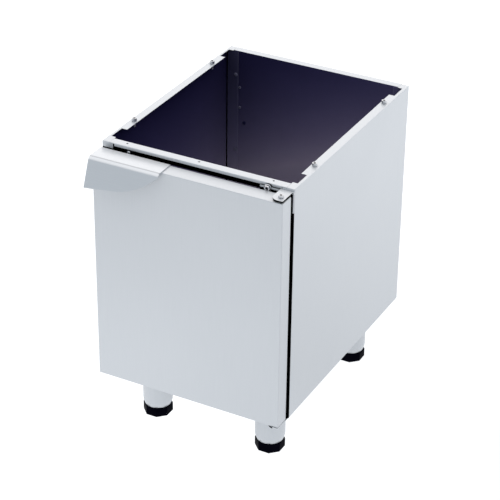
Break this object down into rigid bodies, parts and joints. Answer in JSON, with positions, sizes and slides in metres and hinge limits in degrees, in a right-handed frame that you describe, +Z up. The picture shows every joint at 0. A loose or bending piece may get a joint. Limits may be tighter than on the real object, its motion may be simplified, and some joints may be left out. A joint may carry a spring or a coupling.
{
  "type": "base cabinet",
  "caption": "Stainless steel open-topped base cabinet with a right-hung door, a bent-plate top-edge handle, corner pivots and round legs with screw-adjustable feet.",
  "frame": {"origin": "on the floor under the middle of the whole object's bounding box, door and handle included", "axes": "+Z up, +X to the right of someone facing the door, +Y from the door to the back"},
  "size_m": [0.4, 0.5732, 0.6263],
  "materials": {
    "satin_stainless": "satin",
    "plated_steel": "bright plated",
    "black_plastic": "moulded",
    "nylon": "moulded",
    "ferrite": "sintered"
  },
  "bodies": {
    "carcass": {"left_side_panel": "satin_stainless", "right_side_panel": "satin_stainless", "back_panel": "satin_stainless", "floor_panel": "satin_stainless", "front_top_rail": "satin_stainless", "rear_left_corner_post": "satin_stainless", "rear_right_corner_post": "satin_stainless", "upper_hinge_corner_plate": "satin_stainless", "lower_hinge_corner_plate": "satin_stainless", "catch_corner_plate": "satin_stainless", "upper_hinge_bracket": "satin_stainless", "lower_hinge_bracket": "satin_stainless", "leg_front_left": "satin_stainless", "leg_front_right": "satin_stainless", "leg_rear_left": "satin_stainless", "leg_rear_right": "satin_stainless", "left_post_rivet_upper": "plated_steel", "left_post_rivet_middle": "plated_steel", "left_post_rivet_lower": "plated_steel", "right_post_rivet_upper": "plated_steel", "right_post_rivet_middle": "plated_steel", "right_post_rivet_lower": "plated_steel", "top_screw_front_left": "plated_steel", "top_screw_front_right": "plated_steel", "top_screw_rear_left": "plated_steel", "top_screw_rear_right": "plated_steel", "back_panel_screw_upper": "plated_steel", "back_panel_screw_lower": "plated_steel", "upper_hinge_bolt_inner": "plated_steel", "upper_hinge_bolt_outer": "plated_steel", "lower_hinge_bolt_inner": "plated_steel", "lower_hinge_bolt_outer": "plated_steel", "upper_pivot_screw": "plated_steel", "lower_pivot_screw": "plated_steel", "catch_screw_upper": "plated_steel", "catch_screw_lower": "plated_steel", "leg_insert_front_left": "plated_steel", "leg_insert_front_right": "plated_steel", "leg_insert_rear_left": "plated_steel", "leg_insert_rear_right": "plated_steel", "catch_housing": "black_plastic", "catch_magnet": "ferrite", "back_panel_plug": "black_plastic"},
    "door": {"door_outer_skin": "satin_stainless", "door_inner_skin": "satin_stainless", "door_handle": "satin_stainless", "upper_pivot_bearing": "nylon", "lower_pivot_bearing": "nylon", "handle_nut_left": "plated_steel", "handle_nut_right": "plated_steel", "strike_plate": "plated_steel", "strike_rivet": "plated_steel"},
    "stem_front_left": {"foot_stem_front_left": "plated_steel"},
    "foot_front_left": {"foot_front_left": "black_plastic"},
    "stem_front_right": {"foot_stem_front_right": "plated_steel"},
    "foot_front_right": {"foot_front_right": "black_plastic"},
    "stem_rear_left": {"foot_stem_rear_left": "plated_steel"},
    "foot_rear_left": {"foot_rear_left": "black_plastic"},
    "stem_rear_right": {"foot_stem_rear_right": "plated_steel"},
    "foot_rear_right": {"foot_rear_right": "black_plastic"}
  },
  "joints": [
    {"name": "door_swing", "type": "hinge", "parent": "carcass", "child": "door", "pos_m": [0.1873, -0.24288, 0.36925], "axis": [0, 0, 1], "range_deg": [0, 180]},
    {"name": "foot_height_front_left", "type": "slide", "parent": "carcass", "child": "stem_front_left", "axis": [0, 0, -1], "range_m": [0, 0.02]},
    {"name": "foot_turn_front_left", "type": "hinge", "parent": "stem_front_left", "child": "foot_front_left", "pos_m": [-0.1275, -0.14838, 0], "axis": [0, 0, -1], "range_deg": [0, 3600]},
    {"name": "foot_height_front_right", "type": "slide", "parent": "carcass", "child": "stem_front_right", "axis": [0, 0, -1], "range_m": [0, 0.02]},
    {"name": "foot_turn_front_right", "type": "hinge", "parent": "stem_front_right", "child": "foot_front_right", "pos_m": [0.1275, -0.14838, 0], "axis": [0, 0, -1], "range_deg": [0, 3600]},
    {"name": "foot_height_rear_left", "type": "slide", "parent": "carcass", "child": "stem_rear_left", "axis": [0, 0, -1], "range_m": [0, 0.02]},
    {"name": "foot_turn_rear_left", "type": "hinge", "parent": "stem_rear_left", "child": "foot_rear_left", "pos_m": [-0.1275, 0.22162, 0], "axis": [0, 0, -1], "range_deg": [0, 3600]},
    {"name": "foot_height_rear_right", "type": "slide", "parent": "carcass", "child": "stem_rear_right", "axis": [0, 0, -1], "range_m": [0, 0.02]},
    {"name": "foot_turn_rear_right", "type": "hinge", "parent": "stem_rear_right", "child": "foot_rear_right", "pos_m": [0.1275, 0.22162, 0], "axis": [0, 0, -1], "range_deg": [0, 3600]}
  ],
  "couplings": [
    {"joint": "foot_turn_front_left", "follows": "foot_height_front_left", "rad_per_m": 3141.6},
    {"joint": "foot_turn_front_right", "follows": "foot_height_front_right", "rad_per_m": 3141.6},
    {"joint": "foot_turn_rear_left", "follows": "foot_height_rear_left", "rad_per_m": 3141.6},
    {"joint": "foot_turn_rear_right", "follows": "foot_height_rear_right", "rad_per_m": 3141.6}
  ]
}
